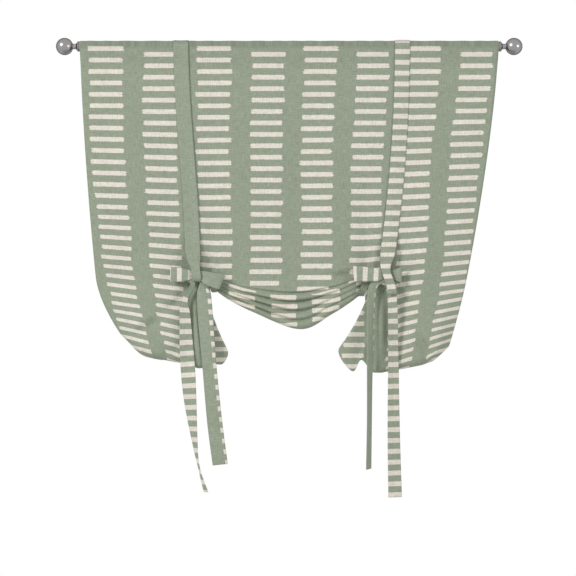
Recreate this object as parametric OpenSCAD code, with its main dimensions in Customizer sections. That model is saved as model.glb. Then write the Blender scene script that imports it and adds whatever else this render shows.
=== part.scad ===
// Tie-up curtain on its telescoping rod. Rod axis along X, cloth front faces -Y, Z up.

/* [Panel] */
// Finished width of the cloth panel
panel_w = 1168; // [960:1:1400]
// Rod axis down to the lowest fold of the side parts
ear_drop = 892; // [840:1:960]
// Rod axis down to the lowest point of the middle swag
swag_drop = 790; // [750:1:830]
// Height of cloth turned up behind the lower fold
tuck_h = 120; // [60:1:150]
// Depth of the sewn rod pocket below the rod axis
pocket_h = 62; // [50:1:90]
// Cloth thickness
cloth_t = 1.2; // [0.8:0.1:1.6]
// Inward lean of the left side edge at the knots
edge_in_left = 44; // [20:1:100]
// Inward lean of the right side edge at the knots
edge_in_right = 88; // [20:1:100]
// Depth of the soft folds across the swag
pleat_h = 6; // [0:0.5:7]

/* [Ties] */
// Rod axis down to the knots
tie_drop = 640; // [600:1:665]
// Width of the ties
tie_w = 42; // [30:1:46]
// Thickness of the doubled, sewn tie cloth
tie_t = 1.6; // [1:0.1:2]
// Middle of the panel to where the ties are sewn on
tie_x = 309; // [290:1:330]
// Middle of the panel to the knots
knot_x = 271; // [262:1:280]
// Length of the outer end of the left tie below its knot
left_outer_end = 600; // [420:5:680]
// Length of the inner end of the left tie below its knot
left_inner_end = 524; // [420:5:680]
// Length of the inner end of the right tie below its knot
right_inner_end = 536; // [420:5:680]
// Length of the outer end of the right tie below its knot
right_outer_end = 614; // [420:5:680]
// Width of the band wrapped round each knot
knot_w = 24; // [18:1:26]

/* [Rod] */
// Outer tube diameter
rod_d = 28; // [24:0.5:30]
// Tube wall
rod_wall = 0.8; // [0.6:0.1:1.2]
// Length of each tube
tube_l = 910; // [800:5:1000]
// Play between the sliding tubes, all round
slide_gap = 0.4; // [0.3:0.05:0.6]
// Ball diameter of the finials
ball_d = 48; // [36:1:56]
// Flange diameter of the finials
flange_d = 28.5; // [28:0.5:34]
// Neck diameter of the finials
neck_d = 15; // [12:0.5:18]
// Screw diameter of the finials
screw_d = 6; // [5:0.5:8]

/* [Hidden] */
$fn = 64;
hw = panel_w / 2;
// Cloth middle line round the rod
pocket_r = rod_d / 2 + 0.5 + cloth_t / 2;
seam_y = 4;
// Flat and hanging position of the two gathers beside the knots
gather_u = tie_x - 94;
gather_y = 5;
knot_z = -tie_drop;
// Front face of the cloth at the knots
knot_y = -25;
inner_d = rod_d - 2 * rod_wall - 2 * slide_gap;
end_x = hw + 3;

// Smooth curve through hand-set stations, without overshoot
function slope(p, i) = (p[i + 1][1] - p[i][1]) / (p[i + 1][0] - p[i][0]);
function mid_slope(p, i) =
    i == 0 ? slope(p, 0) :
    i == len(p) - 1 ? slope(p, i - 1) :
    let (a = slope(p, i - 1), b = slope(p, i)) a * b <= 0 ? 0 : 2 * a * b / (a + b);
function span_of(p, v, i = 0) = i >= len(p) - 2 || v < p[i + 1][0] ? i : span_of(p, v, i + 1);
function curve(p, v) =
    let (i = span_of(p, v), w = p[i + 1][0] - p[i][0], t = (v - p[i][0]) / w)
    (1 + 2 * t) * (1 - t) * (1 - t) * p[i][1] + t * (1 - t) * (1 - t) * w * mid_slope(p, i)
    + t * t * (3 - 2 * t) * p[i + 1][1] - t * t * (1 - t) * w * mid_slope(p, i + 1);
function ease(t) = t <= 0 ? 0 : t >= 1 ? 1 : t * t * (3 - 2 * t);

// Stations across the cloth, from the middle out: swag, gather, flare, hollow strip, crest, side edge
function st_u() = let (g = gather_u)
    [0, 0.55 * g, g - 35, g, g + 24, g + 48, g + 68, g + 90, g + 112, g + 170, (g + 170 + hw) / 2, hw];
function shift(e) = knot_x + 15 * e;
function side_in(e) = e < 0 ? edge_in_left : edge_in_right;
function gather_x(e) = knot_x - (e < 0 ? 49 : 57);
function gather_z(e) = tie_drop + (e < 0 ? 26 : 38);
function low(e) = ear_drop + 8 * e;
function st_xk(e) = let (g = gather_x(e), k = shift(e), o = hw - side_in(e))
    [8, 0.55 * g, g - 32, g, g + 9, g + 16, g + 25, (g + k) / 2 + 18, k + 16, k + 78, (k + 84 + o) / 2, o];
function st_xb(e) = let (g = gather_x(e), k = shift(e), o = hw - (e < 0 ? 112 : 146))
    concat([27, 0.53 * g + 8 * e, g - 30, g, g - 5], e < 0 ?
    [g - 49, g - 30, g - 6, k - 10, k + 54, (k + 80 + o) / 2, o] :
    [g - 74, g - 35, g - 11, k - 46, k + 52, (k + 62 + o) / 2, o]);
function st_zb(e) = let (g = gather_z(e), w = swag_drop, d = low(e))
    concat([w, g + 0.6 * (w - g), g + 26, g, g + 0.45 * (d - g)], e < 0 ?
    [d - 28, d + 4, d + 2, d + 12, d - 1, d - 16, d - 62] :
    [d - 49, d + 7, d - 25, d + 11, d - 3, d - 18, d - 58]);
function st_zk() = let (k = tie_drop + 5) [k + 32, k + 20, k + 1, k - 8, k - 4, k, k, k, k, k, k, k];
function st_yk() = [-20, -21, -20, -8, -14, -19, -17, -15, -15, -24, -18, -8];
function st_yb() = [-34, -32, -18, gather_y, 2, -20, -20, -18, -16, -40, -36, -6];
function st_r() = [15, 14, 8, 4, 3.5, 5, 6, 6, 10, 26, 26, 18];
function st_h() = let (h = tuck_h) [0.8 * h, 0.72 * h, 20, 8, 8, 10, 16, 16, 0.6 * h, h, h, 0.9 * h];
function st_p() = [1, 0.9, 0.42, 0.16, 0, 0, 0, 0, 0, 0, 0, 0];

function both(l, r, s) = concat(
    [for (i = [11:-1:1]) [-st_u()[i], s * l[i]]], [[0, r[0]]], [for (i = [1:11]) [st_u()[i], r[i]]]);
p_xk = both(st_xk(-1), st_xk(1), -1);
p_xb = both(st_xb(-1), st_xb(1), -1);
p_zb = both(st_zb(-1), st_zb(1), 1);
p_zk = both(st_zk(), st_zk(), 1);
p_yk = both(st_yk(), st_yk(), 1);
p_yb = both(st_yb(), st_yb(), 1);
p_r = both(st_r(), st_r(), 1);
p_h = both(st_h(), st_h(), 1);
p_p = both(st_p(), st_p(), 1);

// Front of the panel from the rod axis (f = 0) to the knots (f = 1)
function pocket_y(z) = seam_y + (pocket_r - seam_y) * (1 + cos(180 * min(1, z / pocket_h))) / 2;
function upper_y(u, f) = let (z = f * curve(p_zk, u), q = ease((z - pocket_h) / (tie_drop - pocket_h)))
    -pocket_y(z) * (1 - q) - 17 * q + (17 + curve(p_yk, u)) * pow(f, 4)
    + 10 * f * (1 - f) * q * sin(u * 1.5 + 40);
function lean(u) = 1.4 + 3 * (1 - ease((abs(u) - gather_u - 100) / (hw - gather_u - 100)));
function upper_x(u, f) = u + (curve(p_xk, u) - u) * pow(f, lean(u));
function upper(u, f) = [upper_x(u, f), upper_y(u, f), -curve(p_zk, u) * f];

// From the knots (t = 0) to the start of the lower fold (t = 1), with the swag's folds
function wave(t, u) = let (a = 360 * (t - 0.13) / 0.26 + u * 0.12) sin(a + 20 * sin(a));
function fall(u) = curve(p_zb, u) - curve(p_r, u) - curve(p_zk, u);
function lower(u, t, folds) =
    let (xk = curve(p_xk, u), xb = curve(p_xb, u), n = fall(u), m = 1.4 * (xk - u) / tie_drop * n)
    let (yk = curve(p_yk, u), yb = curve(p_yb, u))
    let (a = pleat_h * min(1, n / 90) * curve(p_p, u) * ease(t / 0.16))
    [xk + m * t + (xb - xk - m) * pow(t, 1.7), yk + (yb - yk) * ease(t) + folds * a * wave(t, u),
    -curve(p_zk, u) - n * t];

function end_way(u) = let (d = lower(u, 1, 0) - lower(u, 0.96, 0), w = [d[0], 0, d[2]]) w / norm(w);
function turn(u, a) = let (r = curve(p_r, u))
    lower(u, 1, 1) + r * (1 - cos(a)) * [0, 1, 0] + r * sin(a) * end_way(u);
function back(u, q) =
    let (r = curve(p_r, u), n = fall(u), t = 1 - q * min(curve(p_h, u), 0.9 * n) / n)
    let (f = lower(u, t, 0), e = lower(u, 1, 0), g = lower(u, 1, 1))
    [f[0], g[1] + 2 * r + 0.5 * (f[1] - e[1]), f[2]];

// Rows of the panel: pocket back, over the rod, pocket front, drop, folds, turn, tucked back
pocket_steps = [1, 0.66, 0.33, 0];
function back_row(u, s) = let (z = s * pocket_h, w = (1 + cos(180 * s)) / 2)
    [u, pocket_r * w + (cloth_t + 1.4 - seam_y) * (1 - w), -z];
function panel_col(u) = concat(
    [for (s = pocket_steps) back_row(u, s)],
    [for (a = [30:30:150]) [u, pocket_r * cos(a), pocket_r * sin(a)]],
    [for (s = [0, 0.33, 0.66, 1]) upper(u, s * pocket_h / curve(p_zk, u))],
    [for (i = [1:6]) let (q = pocket_h / curve(p_zk, u)) upper(u, q + (1 - q) * i / 6)],
    [for (i = [1:21]) lower(u, i / 21, 1)],
    [for (a = [36:36:180]) turn(u, a)],
    [for (i = [1:4]) back(u, i / 4)]);
half_u = let (g = gather_u) concat(
    [for (i = [0:4]) i * (g - 35) / 5],
    [for (i = [0:5]) g - 35 + i * 83 / 6],
    [for (i = [0:5]) g + 48 + i * 64 / 6],
    [for (i = [0:2]) g + 112 + i * 58 / 3],
    [for (i = [0:4]) g + 170 + i * (hw - g - 170) / 4]);
cols_u = concat([for (i = [len(half_u) - 1:-1:1]) -half_u[i]], half_u);

function unit(v) = v / max(norm(v), 1e-6);

// Closed sheet of even thickness over a grid of points
module sheet(g, t) {
    n = len(g);
    m = len(g[0]);
    nrm = [for (i = [0:n - 1]) [for (j = [0:m - 1]) unit(cross(
        g[min(i + 1, n - 1)][j] - g[max(i - 1, 0)][j], g[i][min(j + 1, m - 1)] - g[i][max(j - 1, 0)]))]];
    pts = concat(
        [for (i = [0:n - 1]) for (j = [0:m - 1]) g[i][j] + nrm[i][j] * t / 2],
        [for (i = [0:n - 1]) for (j = [0:m - 1]) g[i][j] - nrm[i][j] * t / 2]);
    b = n * m;
    rim = concat(
        [for (j = [0:m - 2]) [j, j + 1]],
        [for (i = [0:n - 2]) [i * m + m - 1, (i + 1) * m + m - 1]],
        [for (j = [m - 1:-1:1]) [(n - 1) * m + j, (n - 1) * m + j - 1]],
        [for (i = [n - 1:-1:1]) [i * m, (i - 1) * m]]);
    faces = concat(
        [for (i = [0:n - 2]) for (j = [0:m - 2]) let (k = i * m + j) each
            [[k, k + m, k + m + 1], [k, k + m + 1, k + 1]]],
        [for (i = [0:n - 2]) for (j = [0:m - 2]) let (k = b + i * m + j) each
            [[k, k + m + 1, k + m], [k, k + 1, k + m + 1]]],
        [for (r = rim) each [[r[0], r[1], b + r[1]], [r[0], b + r[1], b + r[0]]]]);
    polyhedron(points = pts, faces = [for (f = faces) [f[0], f[2], f[1]]]);
}

// Ties: frames are [middle, half width vector]
function u_at(x, z, u, n) = n == 0 ? u : u_at(x, z, x - (upper_x(u, -z / curve(p_zk, u)) - u), n - 1);
function face_y(x, z) = let (u = u_at(x, z, x, 4)) upper_y(u, -z / curve(p_zk, u));
tie_off = cloth_t / 2 + tie_t / 2 + 0.9;
function tie_u(e) = e * tie_x + 7;
// Middle of each bow
function bow(e) = knot_x - (e < 0 ? 15 : 3);
function drop_x(e, z, x1) = tie_u(e) + (x1 - tie_u(e)) * ease(-z / (tie_drop - 40)) * 0.96;
function over(e, a, k) = let (r = pocket_r + tie_off)
    [[tie_u(e), k * r * cos(a), r * sin(a)], [-e * tie_w / 2, 0, 0]];
function front_frame(e, z, x1) =
    let (x = drop_x(e, z, x1), a = face_y(x - tie_w / 2, z), b = face_y(x + tie_w / 2, z), c = face_y(x, z))
    [[x, min((a + b) / 2, c) - tie_off, z], -e * [tie_w / 2, (b - a) / 2, 0]];
function behind_y(x, z) = -z < pocket_h ?
    max(back_row(0, -z / pocket_h)[1], face_y(x, z)) : max(face_y(x, z), cloth_t + 1.4 - seam_y);
function back_frame(e, z, x1) =
    let (x = drop_x(e, z, x1), c = behind_y(x, z))
    let (a = behind_y(x - tie_w / 2, z), b = behind_y(x + tie_w / 2, z))
    [[x, max((a + b) / 2, c) + tie_off, z], -e * [tie_w / 2, (b - a) / 2, 0]];

// Keys are [inward, forward of the cloth, up, width, turn, twist], from the knot's middle
function key_frame(e, k) =
    let (c = cos(k[4]), s = sin(k[4]), w = k[3] * tie_w / 84)
    [[e * (bow(e) - k[0]), knot_y - k[1], knot_z + k[2]],
    w * [-e * c * cos(k[5]), sin(k[5]), s * cos(k[5])]];
function bend(a, b, c, d, t) = 0.5 * (2 * b + (c - a) * t + (2 * a - 5 * b + 4 * c - d) * t * t
    + (3 * b - a - 3 * c + d) * t * t * t);
function smooth_keys(k, n) = let (m = len(k) - 1) concat(
    [for (i = [0:m - 1]) for (j = [0:n - 1])
        bend(k[max(i - 1, 0)], k[i], k[i + 1], k[min(i + 2, m)], j / n)], [k[m]]);
module ribbon(f, t) {
    m = len(f) - 1;
    sheet([for (i = [0:m]) [f[i][0] - f[i][1], f[i][0] + f[i][1]]], t);
}

module curtain_panel() {
    cols = [for (u = cols_u) panel_col(u)];
    color([0.6, 0.64, 0.56]) sheet([for (i = [0:len(cols[0]) - 1]) [for (c = cols) c[i]]], cloth_t);
}

// Front tie: over the header, down the front, into the knot, inner loop out and back, hanging end
function front_keys(loop, tilt, keys) = let (s = tan(tilt)) concat([
    [-12, 5, 66, 42, 0, 0], [-10, 9.5, 44, 37, 0, 0], [-7, 14, 26, 24, 5, 0], [-4, 16.5, 9, 19, 45, 0],
    [6, 17, 1, 18, 90 + tilt / 2, 0], [15, 19, 7 * s, 20, 90 + 0.6 * tilt, 0],
    [32, 24, 32 * s, 34, 90 + tilt, 0],
    [loop - 7, 25.5, (loop - 7) * s, 42, 86 + tilt, 0], [loop, 20.5, loop * s, 42, 80 + tilt, 0],
    [loop - 7, 15.5, (loop - 7) * s, 42, 86 + tilt, 0], [40, 14, 40 * s, 38, 90 + tilt, 0]], keys);
// Back tie: down behind, under the gather, up into the knot, outer loop out and back, hanging end
function back_keys(loop, w, v, keys) = concat([
    [w, -50, 20, 28, 0, 0], [w, -49, -16, 20, 0, 0], [w, -45, -v - 6, 15, 0, 0], [w, -31, -v - 19, 15, 0, 0],
    [w, -14, -v - 18, 15, 0, 0], [w - 2, -3, -v - 5, 16, 8, 0], [w - 10, 3, -v / 2 - 8, 18, 28, 0],
    [34, 6, -12, 20, 50, 0], [17, 9, -3, 19, 78, 0], [0, 10, 0, 18, 90, 0], [-15, 11.5, 1, 22, 90, 0],
    [-28, 17, 1, 32, 90, 0], [-loop + 6, 20, 2, 42, 90, 0], [-loop, 15.5, 2, 42, 90, 0],
    [-loop + 6, 10.5, 2, 42, 90, 0]], keys);
function wrap_in(e) = bow(e) - gather_x(e) + 12;
function front_tie(e, loop, tilt, keys) = concat(
    [for (a = [70, 35, 0]) over(e, a, -1)],
    [for (z = [-16, -40, -75, -150, -250, -350, -450, -520]) front_frame(e, z, e * (bow(e) + 12))],
    [for (k = smooth_keys(front_keys(loop, tilt, keys), 3)) key_frame(e, k)]);
function back_tie(e, loop, keys) = concat(
    [for (a = [70, 35, 0]) over(e, a, 1)],
    [for (z = [-16, -40, -75, -150, -250, -350, -450, -540]) back_frame(e, z, e * (gather_x(e) - 12))],
    [for (k = smooth_keys(back_keys(loop, wrap_in(e), gather_z(e) - tie_drop, keys), 3)) key_frame(e, k)]);

module left_front_tie() {
    n = left_inner_end;
    color([0.62, 0.66, 0.58]) ribbon(front_tie(-1, 72, -16, [
        [30, 13.5, -11, 30, 100, 0], [22, 13, -20, 24, 140, 0], [18, 14, -38, 30, 176, 0],
        [20, 19, -58, 40, 180, 0], [25, 23, -0.25 * n, 42, 182, 4], [36, 24, -0.5 * n, 40, 184, 10],
        [50, 24, -0.78 * n, 42, 186, 4], [65, 24, -n, 42, 186, 0]]), tie_t);
}
module left_back_tie() {
    n = left_outer_end;
    color([0.7, 0.7, 0.62]) ribbon(back_tie(-1, 74, [
        [-40, 10, 1, 38, 88, 0], [-30, 10, -8, 28, 78, 0], [-22, 10, -20, 22, 40, 0],
        [-18, 12, -36, 22, 2, 0],
        [-26, 17, -58, 30, -4, 20], [-32, 21, -84, 38, -2, 30], [-28, 24, -0.34 * n, 42, 3, 14],
        [-18, 25, -0.58 * n, 42, 4, -34], [-3, 24, -0.8 * n, 38, 6, -70], [8, 24, -0.9 * n, 34, 10, -80],
        [26, 24, -n, 28, 10, -62]]), tie_t);
}
module right_front_tie() {
    n = right_outer_end;
    color([0.7, 0.7, 0.62]) ribbon(front_tie(1, 90, 3, [
        [30, 13, -8, 28, 102, 0], [20, 12.5, -20, 22, 125, 0], [8, 13, -33, 22, 137, 0],
        [-8, 16, -52, 28, 152, 0],
        [-17, 21, -80, 36, 172, 0], [-20, 25, -0.2 * n, 40, 178, 0], [-21, 25, -0.4 * n, 42, 180, 6],
        [-23, 25, -0.7 * n, 42, 180, -4], [-25, 25, -n, 42, 180, 0]]), tie_t);
}
module right_back_tie() {
    n = right_inner_end;
    color([0.62, 0.66, 0.58]) ribbon(back_tie(1, 46, [
        [-34, 10.5, -8, 32, 75, 0], [-26, 13, -20, 24, 50, 0], [-12, 18.5, -32, 22, 50, 0],
        [6, 20.5, -46, 24, 48, 0], [24, 21, -66, 32, 30, 0], [36, 22, -94, 38, 10, 0],
        [41, 24, -0.25 * n, 38, 2, 0], [43, 25, -0.36 * n, 36, 0, 20],
        [45, 26, -0.5 * n, 34, 0, 54], [46, 26, -0.75 * n, 32, 0, 64], [48, 26, -n, 30, -4, 60]]), tie_t);
}

// Turn of the front tie over the crossing of the loops
module knot_band(e, keys) {
    ribbon([for (k = smooth_keys(keys, 3)) key_frame(e, k)], tie_t);
}
module left_knot() {
    color([0.62, 0.66, 0.58]) knot_band(-1, [
        [-9, 12.1, 42, 36, 0, 0], [-6, 17.5, 26, 27, 0, 0], [-2, 23, 8, knot_w, 0, 0],
        [0, 24.5, -6, knot_w, 0, 0],
        [0, 20, -16, knot_w - 5, 0, 0], [-1, 12, -18, knot_w - 6, 0, 0], [-1, 3, -12, knot_w - 6, 0, 0],
        [-1, 0.5, 0, knot_w - 6, 0, 0], [-1, 2.5, 12, knot_w - 6, 0, 0]]);
}
module right_knot() {
    color([0.7, 0.7, 0.62]) knot_band(1, [
        [-9, 12.1, 42, 36, 0, 0], [-6, 17.5, 26, 29, 0, 0], [-5, 23.5, 8, knot_w + 2, 0, 0],
        [-9, 27, -14, knot_w + 2, -4, 0], [-14, 27, -34, knot_w + 4, -4, 0],
        [-17, 26, -52, knot_w + 6, -2, 0]]);
}

// Tubes, plugs and finials lie along X
module along_x(x) {
    translate([x, 0, 0]) rotate([0, 90, 0]) children();
}
module tube(d, l) {
    difference() {
        cylinder(d = d, h = l);
        translate([0, 0, -1]) cylinder(d = d - 2 * rod_wall, h = l + 2);
    }
}
module rod_outer_tube() {
    color([0.62, 0.62, 0.6]) along_x(-end_x) tube(rod_d, tube_l);
}
module rod_inner_tube() {
    color([0.62, 0.62, 0.6]) along_x(end_x - tube_l) tube(inner_d, tube_l);
}
module plug(d) {
    difference() {
        cylinder(d = d - 2 * rod_wall, h = 20);
        translate([0, 0, -1]) cylinder(d = screw_d, h = 22);
    }
}
module left_plug() {
    color([0.2, 0.2, 0.2]) along_x(-end_x) plug(rod_d);
}
module right_plug() {
    color([0.2, 0.2, 0.2]) along_x(end_x - 20) plug(inner_d);
}

// Turned finial: screw, flange, neck and ball about its own axis, flange face at zero
module finial() {
    r = ball_d / 2;
    n = neck_d / 2;
    f = flange_d / 2;
    c = 18 + sqrt(r * r - n * n);
    a = asin(n / r);
    rotate_extrude() polygon(concat(
        [[0, -18], [screw_d / 2, -18], [screw_d / 2, 0], [f - 1, 0], [f, 1], [f, 4], [f - 1, 5]],
        [for (i = [1:6]) [n + (f - 1 - n) * pow(1 - i / 6, 2), 5 + 6 * i / 6]],
        [for (i = [0:24]) let (w = a + (180 - a) * i / 24) [i == 24 ? 0 : r * sin(w), c - r * cos(w)]]));
}
module left_finial() {
    color([0.66, 0.66, 0.64]) translate([-end_x, 0, 0]) rotate([0, -90, 0]) finial();
}
module right_finial() {
    color([0.66, 0.66, 0.64]) translate([end_x, 0, 0]) rotate([0, 90, 0]) finial();
}

curtain_panel();
left_front_tie();
left_back_tie();
left_knot();
right_front_tie();
right_back_tie();
right_knot();
rod_outer_tube();
rod_inner_tube();
left_plug();
right_plug();
left_finial();
right_finial();
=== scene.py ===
import math
import bmesh
import bpy
import numpy as np
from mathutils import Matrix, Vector


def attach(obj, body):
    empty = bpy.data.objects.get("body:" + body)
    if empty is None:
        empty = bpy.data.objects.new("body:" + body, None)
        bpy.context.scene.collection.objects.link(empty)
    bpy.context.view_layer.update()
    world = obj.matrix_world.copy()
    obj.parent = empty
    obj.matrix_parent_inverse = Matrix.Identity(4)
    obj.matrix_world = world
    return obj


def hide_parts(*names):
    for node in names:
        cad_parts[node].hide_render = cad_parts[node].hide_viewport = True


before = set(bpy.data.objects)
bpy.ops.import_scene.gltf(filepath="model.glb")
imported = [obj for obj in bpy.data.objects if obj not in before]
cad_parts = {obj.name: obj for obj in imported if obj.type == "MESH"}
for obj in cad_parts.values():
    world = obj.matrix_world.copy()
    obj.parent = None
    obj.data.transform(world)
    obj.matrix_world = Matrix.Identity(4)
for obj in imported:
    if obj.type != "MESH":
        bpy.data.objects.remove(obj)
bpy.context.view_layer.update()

scene = bpy.context.scene
scene.view_settings.view_transform = "Standard"
mainBody = "curtain_and_rod"
mm = 0.001  # the cloth is measured in millimetres, meshes are in metres

# Colours as they look under plain light
palette = {
    "green": (0.335, 0.385, 0.285),
    # the panel's green painted a little lighter for the ties, as painted light on the raised straps
    "greenTieLit": (0.345, 0.395, 0.295),
    "cream": (0.85, 0.79, 0.70),
    "steel": (0.31, 0.305, 0.30),
    "steelRim": (0.12, 0.117, 0.115),
    "plug": (0.03, 0.03, 0.03),
}


def calc(tree, operation, a, b=0.0, c=0.0):
    node = tree.nodes.new("ShaderNodeMath")
    node.operation = operation
    for socket, value in zip(node.inputs, (a, b, c)):
        if isinstance(value, (int, float)):
            socket.default_value = value
        else:
            tree.links.new(value, socket)
    return node.outputs[0]


def mapRange(tree, value, low, high, lowOut, highOut, smooth=False):
    node = tree.nodes.new("ShaderNodeMapRange")
    node.interpolation_type = "SMOOTHSTEP" if smooth else "LINEAR"
    for socket, number in zip(node.inputs[1:5], (low, high, lowOut, highOut)):
        socket.default_value = number
    tree.links.new(value, node.inputs[0])
    return node.outputs[0]


def joinXyz(tree, x, y, z=0.0):
    node = tree.nodes.new("ShaderNodeCombineXYZ")
    for socket, value in zip(node.inputs, (x, y, z)):
        if isinstance(value, (int, float)):
            socket.default_value = value
        else:
            tree.links.new(value, socket)
    return node.outputs[0]


def noise(tree, vector, scale, detail=2.0):
    node = tree.nodes.new("ShaderNodeTexNoise")
    node.inputs["Scale"].default_value = scale
    node.inputs["Detail"].default_value = detail
    tree.links.new(vector, node.inputs["Vector"])
    return node.outputs[0]


def randomThree(tree, x, y):
    node = tree.nodes.new("ShaderNodeTexWhiteNoise")
    node.noise_dimensions = "2D"
    tree.links.new(joinXyz(tree, x, y), node.inputs["Vector"])
    split = tree.nodes.new("ShaderNodeSeparateXYZ")
    tree.links.new(node.outputs["Color"], split.inputs[0])
    return split.outputs


def clothPosition(tree):
    uvMap = tree.nodes.new("ShaderNodeUVMap")
    uvMap.uv_map = "cloth"
    split = tree.nodes.new("ShaderNodeSeparateXYZ")
    tree.links.new(uvMap.outputs[0], split.inputs[0])
    across = calc(tree, "MULTIPLY", split.outputs[0], 1 / mm)  # millimetres from here on
    along = calc(tree, "MULTIPLY", split.outputs[1], 1 / mm)
    return across, along


# The linen weave: scales of its threads per millimetre, then what each adds to the tone
weave = {"thread": 1.4, "warpLength": 0.15, "weftLength": 0.1, "slubWidth": 0.36, "slubLength": 0.05,
    "blotchScale": 0.02, "fine": 0.28, "slub": 0.5, "blotch": 0.12, "bump": 0.35, "bumpHeight": 0.0003,
    "roughness": 0.88, "specular": 0.2, "sheen": 0.12, "sheenRoughness": 0.5}


def streaks(tree, across, along, acrossScale, alongScale):
    x = calc(tree, "MULTIPLY", across, acrossScale)
    y = calc(tree, "MULTIPLY", along, alongScale)
    return noise(tree, joinXyz(tree, x, y), 1.0)


# Painted shade: the cloth is darkened where it turns over the rod
headerShade = {"tone": 0.8, "near": 8.0, "far": 26.0}


def paintedHeaderShade(tree, along, middle):
    away = calc(tree, "ABSOLUTE", calc(tree, "SUBTRACT", along, middle))
    return mapRange(tree, away, headerShade["near"], headerShade["far"], headerShade["tone"], 1.0, True)


def weaveToneAndShade(tree, across, along, threads, shadeOverRodAt):
    wide, long = weave["slubWidth"], weave["slubLength"]
    slubs = calc(tree, "ADD", streaks(tree, across, along, wide, long),
        streaks(tree, across, along, long, wide))
    blotches = noise(tree, joinXyz(tree, across, along), weave["blotchScale"], 3.0)
    base = 1.0 - weave["fine"] - weave["slub"] - 0.5 * weave["blotch"]  # keeps the mean near one
    tone = calc(tree, "MULTIPLY_ADD", threads, weave["fine"], base)
    tone = calc(tree, "MULTIPLY_ADD", slubs, weave["slub"], tone)
    tone = calc(tree, "MULTIPLY_ADD", blotches, weave["blotch"], tone)
    # painted shade, darkest where the cloth turns over the rod
    if shadeOverRodAt is not None:
        tone = calc(tree, "MULTIPLY", tone, paintedHeaderShade(tree, along, shadeOverRodAt))
    return tone


# The mask sets cream on the ground colour; without one the cloth is plain. A place given for the rod adds
# painted shade there
def finishCloth(material, across, along, mask, ground, shadeOverRodAt=None):
    tree = material.node_tree
    shader = tree.nodes["Principled BSDF"]
    warp = streaks(tree, across, along, weave["thread"], weave["warpLength"])
    weft = streaks(tree, across, along, weave["weftLength"], weave["thread"])
    threads = calc(tree, "ADD", warp, weft)
    scaled = tree.nodes.new("ShaderNodeVectorMath")
    scaled.operation = "SCALE"
    if mask is None:
        scaled.inputs[0].default_value = ground
    else:
        mix = tree.nodes.new("ShaderNodeMix")
        mix.data_type = "RGBA"
        mix.inputs[6].default_value = (*ground, 1)
        mix.inputs[7].default_value = (*palette["cream"], 1)
        tree.links.new(mask, mix.inputs[0])
        tree.links.new(mix.outputs[2], scaled.inputs[0])
    tree.links.new(weaveToneAndShade(tree, across, along, threads, shadeOverRodAt), scaled.inputs["Scale"])
    tree.links.new(scaled.outputs[0], shader.inputs["Base Color"])
    bump = tree.nodes.new("ShaderNodeBump")
    bump.inputs["Strength"].default_value = weave["bump"]
    bump.inputs["Distance"].default_value = weave["bumpHeight"]
    tree.links.new(threads, bump.inputs["Height"])
    tree.links.new(bump.outputs[0], shader.inputs["Normal"])
    shader.inputs["Roughness"].default_value = weave["roughness"]
    shader.inputs["Specular IOR Level"].default_value = weave["specular"]
    shader.inputs["Sheen Weight"].default_value = weave["sheen"]
    shader.inputs["Sheen Roughness"].default_value = weave["sheenRoughness"]
    return material


def newMaterial(name):
    material = bpy.data.materials.new(name)
    material.use_nodes = True
    return material


# The panel's dashes, in millimetres on the flat cloth, and the middle of the painted shade over the rod
dashPrint = {"columnPitch": 149.6, "rowPitch": 32.6, "halfLength": 47.0, "halfHeight": 6.6, "corner": 3.6,
    "endPlay": 7.0, "fringe": 13.0, "fringeScale": 0.3, "ragged": 2.6, "raggedScale": 0.22, "softEdge": 0.5,
    "shadeOverRodAt": -20.0, "columnSeed": 7.3, "endSeed": 3.1}


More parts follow.
